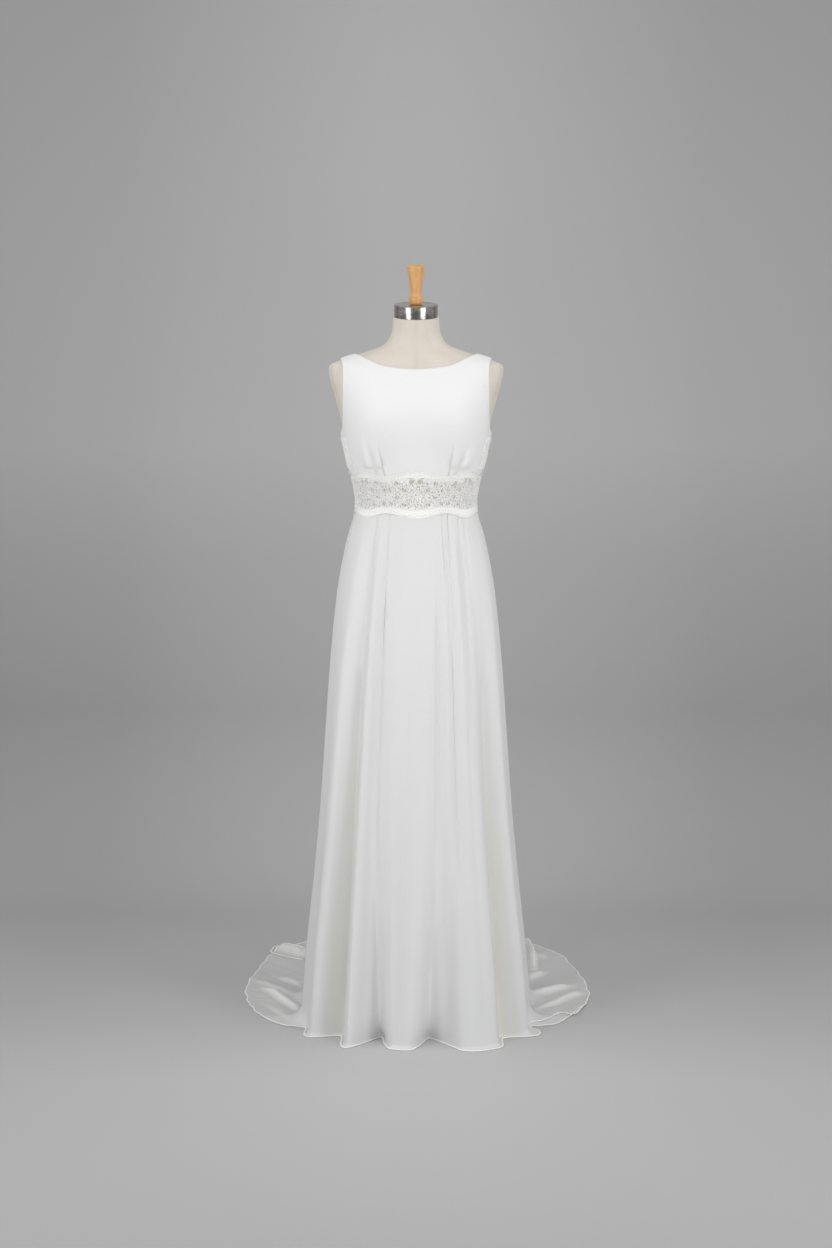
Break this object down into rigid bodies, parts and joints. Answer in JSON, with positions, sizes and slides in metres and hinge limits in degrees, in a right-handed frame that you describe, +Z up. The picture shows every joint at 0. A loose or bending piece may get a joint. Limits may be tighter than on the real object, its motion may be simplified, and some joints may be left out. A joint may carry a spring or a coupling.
{
  "type": "wedding dress on dress form",
  "caption": "Sleeveless empire-line wedding dress with boat neck, lace waist band and sweep train, standing on a limbless linen dress form with steel neck cap and wooden handle",
  "frame": {"origin": "on the floor, on the axis of the form's pole, at the middle of the base's underside", "axes": "+Z up, the dress faces -Y, +X to the viewer's right, the train runs towards +Y"},
  "size_m": [0.806, 1.1053, 1.6909],
  "materials": {
    "crepe_bodice": "smooth white crepe",
    "crepe_skirt": "soft white crepe and chiffon",
    "nude_ground": "fine nude net",
    "lace_band": "corded white lace with beads",
    "linen_cover": "plain woven natural linen",
    "brushed_steel": "brushed",
    "turned_wood": "clear satin varnish",
    "stand_metal": "satin black"
  },
  "bodies": {
    "root": {"bodice_front": "crepe_bodice", "bodice_back_left": "crepe_bodice", "bodice_back_right": "crepe_bodice", "waist_front": "nude_ground", "waist_back_left": "nude_ground", "waist_back_right": "nude_ground", "lace_front": "lace_band", "lace_back_left": "lace_band", "lace_back_right": "lace_band", "skirt_front": "crepe_skirt", "skirt_back_left": "crepe_skirt", "skirt_back_right": "crepe_skirt", "form_torso": "linen_cover", "neck_cap": "brushed_steel", "neck_handle": "turned_wood", "stand_pole": "stand_metal", "stand_base": "stand_metal"}
  },
  "joints": []
}
